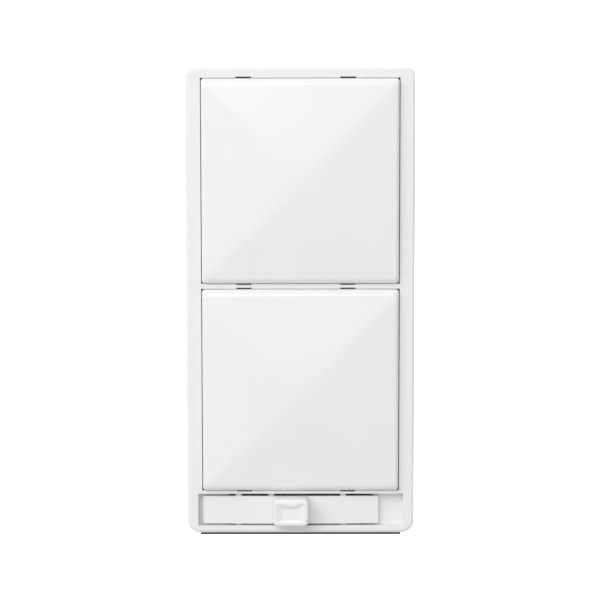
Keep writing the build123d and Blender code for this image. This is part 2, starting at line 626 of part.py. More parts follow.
def reservoir_capacitor():
    """The low-voltage supply's electrolytic can, with its crimp groove."""
    x, z = CAN_PLACE
    can = rod_y(CAN_R, POWER_BACK_Y, POWER_BACK_Y + CAN_HEIGHT, x, z)
    can = fillet(can.faces().sort_by(Axis.Y)[-1].edges(), CAN_EDGE_R)
    groove = Torus(CAN_R + CAN_GROOVE_R / 2, CAN_GROOVE_R)
    return can - Pos(x, POWER_BACK_Y + CAN_GROOVE_HEIGHT, z) * Rot(90, 0, 0) * groove


def choke_core():
    """The ferrite ring of the interference choke."""
    return Pos(CHOKE_X, CHOKE_Y, CHOKE_Z) * Rot(90, 0, 0) * Torus(CHOKE_MAJOR_R, CHOKE_MINOR_R)


def choke_turns():
    """The choke's wire, one closed loop for each turn around the ring."""
    loop_r = CHOKE_MINOR_R + CHOKE_WIRE_R + CHOKE_WIRE_GAP
    loop = Pos(CHOKE_MAJOR_R, 0, 0) * Rot(90, 0, 0) * Torus(loop_r, CHOKE_WIRE_R)
    turns = []
    for i in range(CHOKE_TURNS):
        spin = Rot(0, 0, 360 * i / CHOKE_TURNS)
        turns.append(Pos(CHOKE_X, CHOKE_Y, CHOKE_Z) * Rot(90, 0, 0) * spin * loop)
    return turns


def surge_varistor():
    """The surge varistor, a disc standing on the mains board."""
    x, z = VARISTOR_PLACE
    disc = Pos(x, POWER_BACK_Y + VARISTOR_RISE, z) * Cylinder(VARISTOR_R, VARISTOR_THICKNESS)
    return fillet(disc.edges(), VARISTOR_EDGE_R)


def fuse_link():
    """The fuse: a ceramic barrel lying on the board between two end caps."""
    x, z = FUSE_PLACE
    y = POWER_BACK_Y + FUSE_RISE
    barrel = rod_x(FUSE_R, FUSE_LENGTH, x, y, z)
    for side in (-1, 1):
        barrel += rod_x(FUSE_CAP_R, FUSE_CAP_LENGTH, x + side * FUSE_CAP_X, y, z)
    return barrel


def triac(x):
    """A power switch: moulded body, three legs down to the board and a screw hole."""
    width, height = TRIAC_SIZE
    body = block(width, height, TRIAC_FRONT_Y, SHEET_FRONT_Y, x, TRIAC_Z, CASE_EDGE_R)
    leg_z = TRIAC_Z + TRIAC_LEG_RISE
    for leg_x in (x - TRIAC_LEG_PITCH, x, x + TRIAC_LEG_PITCH):
        body += block(*TRIAC_LEG, POWER_BACK_Y, TRIAC_FRONT_Y + OVERLAP, leg_x, leg_z)
    hole_z = TRIAC_Z - TRIAC_HOLE_DROP
    return body - rod_y(TRIAC_HOLE_R, TRIAC_FRONT_Y - BEYOND, SHEET_FRONT_Y + BEYOND, x, hole_z)


def heat_plate(front_y, back_y):
    """A plate over both power switches, with their screw holes."""
    width, height = SPREADER_SIZE
    plate = block(width, height, front_y, back_y, 0, TRIAC_Z, CASE_CORNER_R)
    for x in TRIAC_XS:
        plate -= rod_y(TRIAC_HOLE_R, front_y - BEYOND, back_y + BEYOND, x, TRIAC_Z - TRIAC_HOLE_DROP)
    return plate


def triac_screw(x):
    """The screw that holds a power switch to the heat spreader."""
    head_r, head_height = TRIAC_SCREW_HEAD
    z = TRIAC_Z - TRIAC_HOLE_DROP
    screw = rod_y(TRIAC_SCREW_R, TRIAC_FRONT_Y - 2 * OVERLAP, SPREADER_BACK_Y, x, z)
    return screw + rod_y(head_r, SPREADER_BACK_Y, SPREADER_BACK_Y + head_height, x, z)


def terminal_clamp(x):
    """A brass terminal: a wire hole beside a screw hole, on a leg from the mains board."""
    top_z = WIRE_Z + CLAMP_MARGIN
    bottom_z = TERMINAL_SCREW_Z - CLAMP_MARGIN
    clamp = block(CLAMP_WIDTH, top_z - bottom_z, CLAMP_FRONT_Y, CLAMP_BACK_Y, x, (top_z + bottom_z) / 2)
    clamp -= rod_y(WIRE_R, CLAMP_BACK_Y - CLAMP_WIRE_DEPTH, CLAMP_BACK_Y + BEYOND, x, WIRE_Z)
    clamp -= rod_y(TERMINAL_SHANK_R, CLAMP_FRONT_Y + BEYOND, CLAMP_BACK_Y + BEYOND, x, TERMINAL_SCREW_Z)
    leg_z = TERMINAL_SCREW_Z + TERMINAL_HEAD_R
    return clamp + block(*CLAMP_LEG, POWER_BACK_Y, CLAMP_FRONT_Y + OVERLAP, x, leg_z)


def terminal_screw(x):
    """A terminal screw with a slotted head, reached through the housing's back."""
    slot_width, slot_depth = TERMINAL_SLOT
    head_back_y = HOUSING_BACK_Y - CLAMP_BACK_GAP
    screw = rod_y(TERMINAL_SHANK_R, CLAMP_FRONT_Y + BEYOND + OVERLAP, CLAMP_BACK_Y, x, TERMINAL_SCREW_Z)
    screw += rod_y(TERMINAL_HEAD_R, CLAMP_BACK_Y, head_back_y, x, TERMINAL_SCREW_Z)
    slot_length = 2 * TERMINAL_HEAD_R + BEYOND
    return screw - block(slot_length, slot_width, head_back_y - slot_depth, head_back_y + BEYOND, x,
                         TERMINAL_SCREW_Z)


save("bezel_frame", bezel_frame())
for side_name, key_z in KEY_CENTRES.items():
    save(f"{side_name}_key", key_cap(key_z))
    save(f"{side_name}_key_pin", key_pin(key_z))
    save(f"{side_name}_key_domes", *[key_dome(z) for z in DOME_PLACES[side_name]])
save("slide_strip", slide_strip())
save("slide_knob", slide_knob())
save("slide_carriage", slide_carriage())
save("slide_pot_lever", slide_pot_lever())
save("pot_wiper", pot_wiper())
save("slide_pot_body", slide_pot_body())
save("key_carrier", key_carrier())
save("carrier_screws", *[carrier_screw(x, z) for x, z in SCREW_PLACES])
save("control_board", control_board())
save("control_chip", control_chip())
save("board_header", board_header())
save("rear_housing", rear_housing())
save("side_spring_clips", side_clip(1), side_clip(-1))
save("power_board", power_board())
save("load_relay", load_relay())
save("film_capacitor", film_capacitor())
save("reservoir_capacitor", reservoir_capacitor())
save("choke_core", choke_core())
save("choke_turns", *choke_turns())
save("surge_varistor", surge_varistor())
save("fuse_link", fuse_link())
save("triacs", *[triac(x) for x in TRIAC_XS])
save("insulating_sheet", heat_plate(SHEET_FRONT_Y, SPREADER_FRONT_Y))
save("heat_spreader", heat_plate(SPREADER_FRONT_Y, SPREADER_BACK_Y))
save("triac_screws", *[triac_screw(x) for x in TRIAC_XS])
save("terminal_clamps", *[terminal_clamp(x) for x in TERMINAL_XS])
save("terminal_screws", *[terminal_screw(x) for x in TERMINAL_XS])
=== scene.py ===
import json
import math

import bmesh
import bpy
import numpy as np
from bpy.props import FloatProperty, PointerProperty, StringProperty
from bpy.types import Operator, Panel, PropertyGroup
from mathutils import Matrix, Vector
from mathutils.geometry import tessellate_polygon


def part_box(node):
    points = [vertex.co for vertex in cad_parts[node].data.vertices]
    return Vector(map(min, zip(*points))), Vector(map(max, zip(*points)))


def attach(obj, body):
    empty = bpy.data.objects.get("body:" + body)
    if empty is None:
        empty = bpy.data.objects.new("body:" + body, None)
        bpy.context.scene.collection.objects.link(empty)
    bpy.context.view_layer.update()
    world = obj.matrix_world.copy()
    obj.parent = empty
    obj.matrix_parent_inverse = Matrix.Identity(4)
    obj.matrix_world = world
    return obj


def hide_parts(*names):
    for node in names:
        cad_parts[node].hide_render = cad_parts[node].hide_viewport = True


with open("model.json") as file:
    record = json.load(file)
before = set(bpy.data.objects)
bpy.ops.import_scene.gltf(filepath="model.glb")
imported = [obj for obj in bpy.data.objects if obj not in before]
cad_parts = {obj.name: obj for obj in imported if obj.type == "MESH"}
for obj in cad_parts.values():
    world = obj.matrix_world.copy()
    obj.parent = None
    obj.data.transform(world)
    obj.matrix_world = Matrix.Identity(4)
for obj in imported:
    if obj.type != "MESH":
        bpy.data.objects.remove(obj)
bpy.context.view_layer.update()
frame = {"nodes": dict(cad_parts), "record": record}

bl_info = {
    "name": "Wall dimmer with slide",
    "version": (1, 0, 0),
    "blender": (4, 5, 0),
    "location": "3D View > Sidebar > Dimmer",
    "description": "Builds the moulded face, keys, slide and finishes of a wall dimmer around its CAD frame",
    "category": "Object",
}

MM = 0.001
BEZEL_LOW, BEZEL_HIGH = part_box("bezel_frame")
KEY_NODES = ("upper_key", "lower_key")
STRIP_LOW, STRIP_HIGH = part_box("slide_strip")
KNOB_LOW, KNOB_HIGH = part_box("slide_knob")

# How meshes are joined: points this close are one, triangles this small are dropped, and edges that
# turn by more than the angle stay sharp.
MERGE_DISTANCE = 1e-7
SMALLEST_AREA = 1e-16
SHARP_ANGLE = math.radians(35)

# A small block's corner radii, as shares of its edge radius.
BLOCK_CORNER_SHARE = 1.5
SMALLEST_CORNER_SHARE = 0.4

# The finishes: the roughness of each white part, and the width of a thread in the board's glass cloth.
FACE_ROUGHNESS = {"bezel": 0.26, "key": 0.2, "slide": 0.34}
CLOTH_THREAD = 0.5 * MM

# The bezel: its walls, its rear rim's bevel, and the core slots in the bars above and below the keys.
# A join is the narrow flat band between a rounded edge and the panel that it meets. Round an opening
# the band ends at a share of the lip's radius.
SIDE_WALL = 1.5 * MM
END_WALL = 1.3 * MM
FACE_THICKNESS = 1.6 * MM
RIM_BEVEL = 0.12 * MM
SMALLEST_CORNER = 0.15 * MM
CAVITY_CORNER = 0.3 * MM
JOIN = 0.05 * MM
LIP_JOIN_SHARE = 1.3
CORE_SLOTS = (-8.0 * MM, 6.75 * MM)

# The strip: its plate, its stem, and the nubs on its edges as (place, side), with side 1 above.
STRIP_HALF_HEIGHT = 1.995 * MM
STRIP_FRONT = 0.3 * MM
STRIP_BACK = 1.35 * MM
STRIP_CORNER = 0.25 * MM
SHARPEST_CORNER = 0.02 * MM
STEM_WIDTH = 2.4 * MM
STEM_HEIGHT = 1.6 * MM
STEM_BACK = 3.5 * MM
STEM_EDGE = 0.1 * MM
NUB_TOP = 0.35 * MM
NUB_BOTTOM = 0.2 * MM
NUB_WIDTH = 0.8 * MM
NUB_DEPTH = 0.7 * MM
NUB_EDGE = 0.06 * MM
NUBS = ((-7.5 * MM, 1), (-2.8 * MM, 1), (7.5 * MM, 1), (-7.5 * MM, -1), (7.5 * MM, -1))
STRIP_TOP = STRIP_HIGH.z - NUB_TOP

# The trough round the strip, the slot in its floor, and the boss behind it: how far the boss stays
# inside the bezel's walls and reaches above the trough.
STRIP_GAP = 0.45 * MM
TROUGH_HALF_WIDTH = 14.675 * MM
TROUGH_HEIGHT = 4.69 * MM
TROUGH_DEPTH = 1.4 * MM
TROUGH_BACK = 2.2 * MM
BOSS_INSET = 0.03 * MM
BOSS_LEDGE = 0.2 * MM
SLOT_HALF_WIDTH = 10.4 * MM
SLOT_LEDGE = 0.1 * MM

# The keys: how far their edges stand in front of the bezel's face and their skirts reach behind it,
# and the creases. A share is of the key's half width or half height. The crown's loops lie at even
# shares: the first, the last and how many.
KEY_PROUD = 1.0 * MM
KEY_BACK = 3.1 * MM
CAP_THICKNESS = 1.5 * MM
INNER_CHAMFER = 0.2 * MM
SKIRT_CHAMFER = 0.1 * MM
PEAK_SHARE = 0.16
CREASE_REACH = 5 * MM
LARGEST_CORNER_SHARE = 0.85
UNDERSIDE_SHARES = (0.96, 0.5)
LARGEST_INSET_SHARE = 0.93
CROWN_LOOPS = ((0.995, 0.12, 30), (0.1, 0.01, 8))

# The knob: its outline and its finger dish. It tapers above and below by a share of its taper at the
# sides. In the dish a share across is of the half width, and a share down is of the height.
KNOB_WAIST = 0.06
KNOB_TAPER = 0.14 * MM
EDGE_TAPER = 0.02 * MM
TAPER_ABOVE = 0.3
KNOB_CORNER = 0.42 * MM
KNOB_CORNER_SHARE = 0.6
KNOB_REAR_EDGE = 0.06 * MM
KNOB_BACK_SHARE = 0.9
KNOB_LOOPS = (0.99, 0.05, 34)
DISH_TOP = 0.1
DISH_SAG = 0.11
DISH_SAG_REACH = 0.66
DISH_FALL = 0.15
DISH_RETURN = 0.35
DISH_RETURN_REACH = 0.5
LIP_START = 0.74
LIP_RISE = 0.14
DISH_FLAT = 0.4
DISH_FADE = 0.5

# The stage, in metres: each light's place, what it points at and its size, and the paper's extent.
# The shade is a strip of dark grey paper just above the floor: a painted contact shadow, which makes the
# dark line under the bezel's lower edge.
MAIN_LIGHT_PLACE = (-0.27, -0.46, 0.34)
MAIN_LIGHT_AIM = (0, 0, 0.01)
MAIN_LIGHT_SIZE = (0.65, 0.35)
BACK_LIGHT_PLACE = (0.2, 0.32, 0.4)
BACK_LIGHT_AIM = (0.03, 0.04)
BACK_LIGHT_SIZE = (0.5, 0.3)
FLOOR_REACH = 2.5
BACKDROP_Y = 0.6
BACKDROP_TOP = 1.6
PAPER_GLOW = 1.2
PAINTED_SHADOW_HALF_WIDTH = 14.4 * MM
PAINTED_SHADOW_FRONT = 0.35 * MM
PAINTED_SHADOW_LIFT = 0.2 * MM

# The camera: the point on the face that it looks at, its sensor in millimetres, and the nearest that
# it sees in metres.
AIM_X = -0.06 * MM
AIM_Z = 0.33 * MM
SENSOR_WIDTH = 36.0
NEAR_LIMIT = 0.01


# ------------------------------------------------------------------------------------ settings
class BezelSettings(PropertyGroup):
    """Sizes of the moulded bezel that the frame doesn't give."""
    edge_radius: FloatProperty(
        name="Edge radius", description="Rounding of the face's outer edge",
        default=0.5 * MM, min=0.0, unit="LENGTH")
    top_corner: FloatProperty(
        name="Top corners", description="Radius of the two top corners",
        default=1.3 * MM, min=0.0, unit="LENGTH")
    bottom_corner: FloatProperty(
        name="Bottom corners", description="Radius of the two bottom corners",
        default=1.75 * MM, min=0.0, unit="LENGTH")
    lip_radius: FloatProperty(
        name="Lip radius", description="Rounding of the edges round the openings",
        default=0.05 * MM, min=0.0, unit="LENGTH")
    key_gap: FloatProperty(
        name="Side gap", description="Gap beside a key, between it and its opening",
        default=0.1 * MM, min=0.0, unit="LENGTH")
    end_gap: FloatProperty(
        name="End gap", description="Gap above and below a key",
        default=0.06 * MM, min=0.0, unit="LENGTH")
    slot_width: FloatProperty(
        name="Core slot width", description="Width of the core slots above and below the keys",
        default=2.15 * MM, min=0.0, unit="LENGTH")
    slot_depth: FloatProperty(
        name="Core slot depth", description="How far a core slot goes into its bar",
        default=0.16 * MM, min=0.0, unit="LENGTH")


class KeySettings(PropertyGroup):
    """Sizes of the two keys' moulded caps."""
    crown: FloatProperty(
        name="Crown", description="Rise of the shallow pyramid from its edges to its middle",
        default=1.6 * MM, min=0.0, unit="LENGTH")
    edge_radius: FloatProperty(
        name="Edge radius", description="Rounding between the pyramid and the sides",
        default=1.1 * MM, min=0.0, unit="LENGTH")
    side_share: FloatProperty(
        name="Side share", description="Width of the rounding at the sides, as a share of that at the ends",
        default=0.5, min=0.1, max=1.0)
    corner_radius: FloatProperty(
        name="Corner radius", description="Radius of the key's four corners",
        default=0.45 * MM, min=0.0, unit="LENGTH")
    crease_radius: FloatProperty(
        name="Crease softness", description="Radius that softens the four diagonal creases",
        default=1.2 * MM, min=0.0, unit="LENGTH")
    wall: FloatProperty(
        name="Wall", description="Wall thickness of the hollow cap",
        default=1.4 * MM, min=0.0, unit="LENGTH")


class SlideSettings(PropertyGroup):
    """Sizes of the strip and its knob."""
    bow: FloatProperty(
        name="Bow", description="How far the strip's ends lie behind its middle",
        default=0.35 * MM, min=0.0, unit="LENGTH")
    strip_edge: FloatProperty(
        name="Strip edge", description="Rounding of the strip's front edges",
        default=0.07 * MM, min=0.0, unit="LENGTH")
    dish_depth: FloatProperty(
        name="Dish depth", description="Depth of the finger dish in the knob",
        default=0.3 * MM, min=0.0, unit="LENGTH")
    knob_edge: FloatProperty(
        name="Knob edge", description="Rounding of the knob's front edge",
        default=0.38 * MM, min=0.0, unit="LENGTH")


class FinishSettings(PropertyGroup):
    """Colours of the finishes, as sRGB hex values."""
    bezel_white: StringProperty(
        name="Bezel", description="Colour of the bezel's plastic", default="#F0F0F0")
    key_white: StringProperty(
        name="Keys", description="Colour of the keys' plastic", default="#F2F2F3")
    slide_white: StringProperty(
        name="Slide", description="Colour of the strip and the knob", default="#F2F0F1")
    housing_grey: StringProperty(
        name="Housing", description="Colour of the rear housing", default="#2B2C2E")


class StudioSettings(PropertyGroup):
    """The camera and the lights."""
    distance: FloatProperty(
        name="Camera distance", description="From the camera to the middle of the face",
        default=320 * MM, min=0.0, unit="LENGTH")
    elevation: FloatProperty(
        name="Camera elevation", description="Height of the camera above level",
        default=math.radians(6.7), subtype="ANGLE", unit="ROTATION")
    roll: FloatProperty(
        name="Camera roll", description="Turn of the camera about its own view line",
        default=math.radians(-0.06), subtype="ANGLE", unit="ROTATION")
    lens: FloatProperty(
        name="Lens", description="Focal length on a 36 mm sensor", default=135.3, min=1.0)
    key_power: FloatProperty(
        name="Main light", description="Power of the soft light above and to the left",
        default=2.45, min=0.0, unit="POWER")
    back_power: FloatProperty(
        name="Back light", description="Power of the soft light behind, which clears the floor",
        default=3.0, min=0.0, unit="POWER")
    fill: FloatProperty(
        name="Fill", description="Strength of the even light all round", default=0.6, min=0.0)
    floor_drop: FloatProperty(
        name="Floor gap", description="Gap between the bezel's lower edge and the floor",
        default=0.3 * MM, min=0.0, unit="LENGTH")


# ------------------------------------------------------------------------------------ shapes
def rounded_loops(half_x, half_z, radius, arc=10, side=16):
    """Rounded rectangles, one for each entry of half_x and half_z, as an array (loops, points, 2).

    Corner q turns through q*90 to (q+1)*90 degrees about (sx*(hx - r), sz*(hz - r)):
    point = centre + r*(cos, sin). Each side is a straight blend from one corner's last point
    to the next corner's first. Points run anticlockwise from the right-hand side.
    """
    half_x, half_z = np.atleast_1d(half_x).astype(float), np.atleast_1d(half_z).astype(float)
    radius = np.broadcast_to(np.asarray(radius, float), (len(half_x), 4))
    angle = np.arange(4)[:, None] * math.pi / 2 + np.linspace(0, math.pi / 2, arc)
    centre_x = np.array([1, -1, -1, 1]) * (half_x[:, None] - radius)
    centre_z = np.array([1, 1, -1, -1]) * (half_z[:, None] - radius)
    x = centre_x[:, :, None] + radius[:, :, None] * np.cos(angle)
    z = centre_z[:, :, None] + radius[:, :, None] * np.sin(angle)
    corners = np.stack([x, z], axis=-1)
    ahead = np.roll(corners, -1, axis=1)[:, :, :1]
    blend = np.linspace(0, 1, side + 2)[1:-1, None]
    sides = corners[:, :, -1:] * (1 - blend) + ahead * blend
    return np.concatenate([corners, sides], axis=2).reshape(len(half_x), -1, 2)


def offset_loop(loop, distance):
    """A closed anticlockwise polygon moved outwards: each corner goes by distance*(a + b)/(1 + a.b),
    where a and b are the outward normals of the two edges that meet there."""
    edge = np.roll(loop, -1, axis=0) - loop
    edge = edge / np.linalg.norm(edge, axis=1, keepdims=True)
    ahead = np.stack([edge[:, 1], -edge[:, 0]], axis=1)
    behind = np.roll(ahead, 1, axis=0)
    return loop + distance * (ahead + behind) / (1 + (ahead * behind).sum(1, keepdims=True))


def ring_stack(loops, depths, centre=(0.0, 0.0), start_y=None, end_y=None):
    """A surface through a stack of loops: quads join loop k to loop k+1, point by point.

    depths gives Y for each loop, or for each point of each loop. A start_y or end_y closes that
    end with a fan to one point on the centre line. Returns (vertices, faces).
    """
    count, points = loops.shape[:2]
    depths = np.broadcast_to(np.asarray(depths, float).reshape(count, -1), (count, points))
    vertices = np.stack([loops[..., 0] + centre[0], depths, loops[..., 1] + centre[1]], -1).reshape(-1, 3)
    first = (np.arange(count - 1)[:, None] * points + np.arange(points)).ravel()
    after = (np.arange(count - 1)[:, None] * points + np.roll(np.arange(points), -1)).ravel()
    faces = np.stack([first, after, after + points, first + points], 1).tolist()
    around = np.arange(points)
    ahead = np.roll(around, -1)
    if start_y is not None:
        vertices = np.vstack([vertices, [[centre[0], start_y, centre[1]]]])
        faces += np.stack([np.full(points, len(vertices) - 1), ahead, around], 1).tolist()
    if end_y is not None:
        vertices = np.vstack([vertices, [[centre[0], end_y, centre[1]]]])
        last = (count - 1) * points
        faces += np.stack([around + last, ahead + last, np.full(points, len(vertices) - 1)], 1).tolist()
    return vertices, faces


def flat_panel(outer, holes, depth, faces_front):
    """The flat area at Y = depth between an outer loop and the holes in it, in triangles."""
    outlines = (outer, *holes)
    loops = [np.column_stack([loop[:, 0], np.full(len(loop), depth), loop[:, 1]]) for loop in outlines]
    flat = [[Vector((x / MM, z / MM, 0)) for x, _, z in loop.tolist()] for loop in loops]
    vertices = np.vstack(loops)
    triangles = np.array(tessellate_polygon(flat))
    a, b, c = (vertices[triangles[:, k]][:, [0, 2]] for k in range(3))
    area = (b[:, 0] - a[:, 0]) * (c[:, 1] - a[:, 1]) - (b[:, 1] - a[:, 1]) * (c[:, 0] - a[:, 0])
    wrong = (area > 0) != faces_front
    triangles[wrong] = triangles[wrong][:, ::-1]
    return vertices, triangles[np.abs(area) > SMALLEST_AREA].tolist()


def quarter_round(radius, steps=8, end=math.pi / 2):
    """(inset, rise) along a rounded edge: inset = r*(1 - cos t), rise = r*sin t, t from 0 to end."""
    turn = np.linspace(0, end, steps)
    return radius * (1 - np.cos(turn)), radius * np.sin(turn)


def capsule_box(centre, size, radius, arc=4):
    """A small block with rounded upright edges and rounded front and back edges."""
    inset, rise = quarter_round(radius, steps=4)
    half = np.array(size) / 2
    insets = np.concatenate([inset[::-1], inset])
    depths = np.concatenate([half[1] - radius + rise[::-1], -(half[1] - radius + rise)]) + centre[1]
    corner = np.maximum(radius * BLOCK_CORNER_SHARE - insets, radius * SMALLEST_CORNER_SHARE)[:, None]
    loops = rounded_loops(half[0] - insets, half[2] - insets, corner, arc=arc, side=1)
    return ring_stack(loops, depths, (centre[0], centre[2]), centre[1] + half[1], centre[1] - half[1])


def make_piece(name, patches, body, material, replaced):
    """Joins patches that meet edge to edge into one smooth-shaded mesh, and places it in the frame."""
    vertices = np.vstack([patch[0] for patch in patches])
    starts = np.cumsum([0] + [len(patch[0]) for patch in patches])
    faces = [[i + int(start) for i in face] for patch, start in zip(patches, starts) for face in patch[1]]
    mesh = bpy.data.meshes.new(name)
    mesh.from_pydata(vertices.tolist(), [], faces)
    merged = bmesh.new()
    merged.from_mesh(mesh)
    bmesh.ops.remove_doubles(merged, verts=merged.verts, dist=MERGE_DISTANCE)
    merged.to_mesh(mesh)
    merged.free()
    mesh.shade_smooth()
    mesh.set_sharp_from_angle(angle=SHARP_ANGLE)
    mesh.materials.append(material)
    piece = bpy.data.objects.new(name, mesh)
    bpy.context.scene.collection.objects.link(piece)
    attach(piece, body)
    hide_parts(*replaced)
    return piece


# ------------------------------------------------------------------------------------ materials
def linear(hex_colour):
    """An sRGB hex colour as linear RGBA."""
    channels = np.array([int(hex_colour[i:i + 2], 16) / 255 for i in (1, 3, 5)])
    low = channels / 12.92
    high = ((channels + 0.055) / 1.055) ** 2.4
    return (*np.where(channels <= 0.04045, low, high).tolist(), 1.0)


def add(tree, kind, links=(), inputs=None, **settings):
    """Adds a node, sets its properties and inputs, and links (input, node, output) triples to it."""
    node = tree.nodes.new(kind)
    for key, value in settings.items():
        setattr(node, key, value)
    for key, value in (inputs or {}).items():
        node.inputs[key].default_value = value
    for socket, source, output in links:
        tree.links.new(source.outputs[output], node.inputs[socket])
    return node


def blank(name):
    """A new node material and its tree, with an output and object coordinates in it."""
    material = bpy.data.materials.new(name)
    material.use_nodes = True
    tree = material.node_tree
    tree.nodes.clear()
    place = add(tree, "ShaderNodeTexCoord")
    return material, tree, place


def close(tree, shader):
    """Links the shader to the material's output."""
    add(tree, "ShaderNodeOutputMaterial", links=[("Surface", shader, "BSDF")])


def speckle(tree, place, grain, low, high, detail=2.0, octave=0.5):
    """Noise of one grain size in metres, spread from low to high."""
    noise = add(tree, "ShaderNodeTexNoise", [("Vector", place, "Object")],
                {"Scale": 1 / grain, "Detail": detail, "Roughness": octave})
    return add(tree, "ShaderNodeMapRange", [("Value", noise, "Fac")],
               {"From Min": 0.3, "From Max": 0.7, "To Min": low, "To Max": high})


def tint(tree, place, grain, first, second, detail=2.0):
    """A colour that wanders between two near shades over a distance in metres."""
    blend = speckle(tree, place, grain, 0.0, 1.0, detail)
    return add(tree, "ShaderNodeMix", [(0, blend, "Result")],
               {6: linear(first), 7: linear(second)}, data_type="RGBA")


def relief(tree, place, grain, height, detail=2.0):
    """A bump of one grain size and height in metres."""
    noise = add(tree, "ShaderNodeTexNoise", [("Vector", place, "Object")],
                {"Scale": 1 / grain, "Detail": detail, "Roughness": 0.55})
    return add(tree, "ShaderNodeBump", [("Height", noise, "Fac")], {"Strength": 1.0, "Distance": height})


def shade(hex_colour, factor):
    """A hex colour made lighter or darker by a factor."""
    levels = [min(255, int(round(int(hex_colour[i:i + 2], 16) * factor))) for i in (1, 3, 5)]
    return "#{:02X}{:02X}{:02X}".format(*levels)


def polished_polycarbonate(name, colour, rough):
    """White polycarbonate from a polished mould (IOR 1.58): a clean gloss, a shallow orange-peel
    swell 1.5 mm long, and a slightly uneven sheen where the melt cooled at different speeds."""
    material, tree, place = blank(name)
    base = tint(tree, place, grain=9 * MM, first=colour, second=shade(colour, 0.995))
    gloss = speckle(tree, place, grain=2.2 * MM, low=rough * 0.95, high=rough * 1.06, detail=3.0)
    swell = relief(tree, place, grain=1.5 * MM, height=0.0003 * MM)
    shader = add(tree, "ShaderNodeBsdfPrincipled",
                 [("Base Color", base, 2), ("Roughness", gloss, "Result"), ("Normal", swell, "Normal")],
                 {"IOR": 1.58, "Subsurface Weight": 0.06, "Subsurface Scale": 0.6 * MM,
                  "Subsurface Radius": (1.0, 0.95, 0.9)})
    close(tree, shader)
    return material


def spark_textured_nylon(name, colour):
    """Glass-filled nylon from a spark-eroded mould (IOR 1.53): an even matt grain about 0.25 mm
    across, drawn a little coarser than real so that it shows, with slight grey flow marks."""
    material, tree, place = blank(name)
    base = tint(tree, place, grain=4 * MM, first=colour, second=shade(colour, 1.18), detail=4.0)
    gloss = speckle(tree, place, grain=1 * MM, low=0.48, high=0.62, detail=3.0)
    grain = relief(tree, place, grain=0.25 * MM, height=0.02 * MM)
    shader = add(tree, "ShaderNodeBsdfPrincipled",
                 [("Base Color", base, 2), ("Roughness", gloss, "Result"), ("Normal", grain, "Normal")],
                 {"IOR": 1.53})
    close(tree, shader)
    return material


def plain_moulding(name, colour, rough, ior, grain=0.5 * MM):
    """A small moulded part: an even colour, a satin sheen and a fine grain."""
    material, tree, place = blank(name)
    base = tint(tree, place, grain=3 * MM, first=colour, second=shade(colour, 0.93), detail=3.0)
    gloss = speckle(tree, place, grain=1.2 * MM, low=rough * 0.9, high=rough * 1.15)
    fine = relief(tree, place, grain, height=0.006 * MM)
    shader = add(tree, "ShaderNodeBsdfPrincipled",
                 [("Base Color", base, 2), ("Roughness", gloss, "Result"), ("Normal", fine, "Normal")],
                 {"IOR": ior})
    close(tree, shader)
    return material


def worked_metal(name, colour, rough, stretch, line, depth):
    """A bare metal whose marks run one way: noise squeezed by stretch gives lines of that width."""
    material, tree, place = blank(name)
    turned = add(tree, "ShaderNodeMapping", [("Vector", place, "Object")], {"Scale": stretch})
    lines = add(tree, "ShaderNodeTexNoise", [("Vector", turned, "Vector")],
                {"Scale": 1 / line, "Detail": 3.0, "Roughness": 0.6})
    base = tint(tree, place, grain=2 * MM, first=colour, second=shade(colour, 0.9), detail=3.0)
    gloss = add(tree, "ShaderNodeMapRange", [("Value", lines, "Fac")],
                {"From Min": 0.3, "From Max": 0.7, "To Min": rough * 0.75, "To Max": rough * 1.3})
    bump = add(tree, "ShaderNodeBump", [("Height", lines, "Fac")], {"Strength": 1.0, "Distance": depth})
    shader = add(tree, "ShaderNodeBsdfPrincipled",
                 [("Base Color", base, 2), ("Roughness", gloss, "Result"), ("Normal", bump, "Normal")],
                 {"Metallic": 1.0})
    close(tree, shader)
    return material


def laminate_with_mask():
    """Glass-epoxy board under green solder mask: the glass cloth shows through as a faint weave
    of 0.5 mm threads, below a glossy lacquer. A wave texture's crests lie pi/(10*scale) apart, which
    this scale makes about two threads: one over and one under."""
    material, tree, place = blank("glass_epoxy_laminate")
    cloth_scale = 1 / (2 * math.pi * CLOTH_THREAD)
    warp = add(tree, "ShaderNodeTexWave", [("Vector", place, "Object")],
               {"Scale": cloth_scale, "Distortion": 0.4}, bands_direction="X")
    weft = add(tree, "ShaderNodeTexWave", [("Vector", place, "Object")],
               {"Scale": cloth_scale, "Distortion": 0.4}, bands_direction="Z")
    cloth = add(tree, "ShaderNodeMath", [(0, warp, "Fac"), (1, weft, "Fac")], operation="MULTIPLY")
    base = add(tree, "ShaderNodeMix", [(0, cloth, "Value")],
               {6: linear("#12452A"), 7: linear("#1C5C38")}, data_type="RGBA")
    bump = add(tree, "ShaderNodeBump", [("Height", cloth, "Value")], {"Distance": 0.01 * MM})
    shader = add(tree, "ShaderNodeBsdfPrincipled",
                 [("Base Color", base, 2), ("Normal", bump, "Normal")],
                 {"IOR": 1.52, "Roughness": 0.3, "Coat Weight": 0.4, "Coat Roughness": 0.15})
    close(tree, shader)
    return material


def moulded_silicone():
    """Translucent silicone rubber: soft light under the skin and a dull, slightly dusty surface."""
    material, tree, place = blank("moulded_silicone")
    base = tint(tree, place, grain=1 * MM, first="#D9D9D6", second="#C9C9C6")
    gloss = speckle(tree, place, grain=0.5 * MM, low=0.5, high=0.7)
    shader = add(tree, "ShaderNodeBsdfPrincipled",
                 [("Base Color", base, 2), ("Roughness", gloss, "Result")],
                 {"IOR": 1.41, "Subsurface Weight": 0.5, "Subsurface Scale": 1.0 * MM})
    close(tree, shader)
    return material


def white_carbonate(part):
    """The polished polycarbonate of one of the face's parts, in its colour from the settings."""
    finish = bpy.context.scene.dimmer_finish
    colour = getattr(finish, f"{part}_white")
    return polished_polycarbonate(f"{part}_polycarbonate", colour, FACE_ROUGHNESS[part])


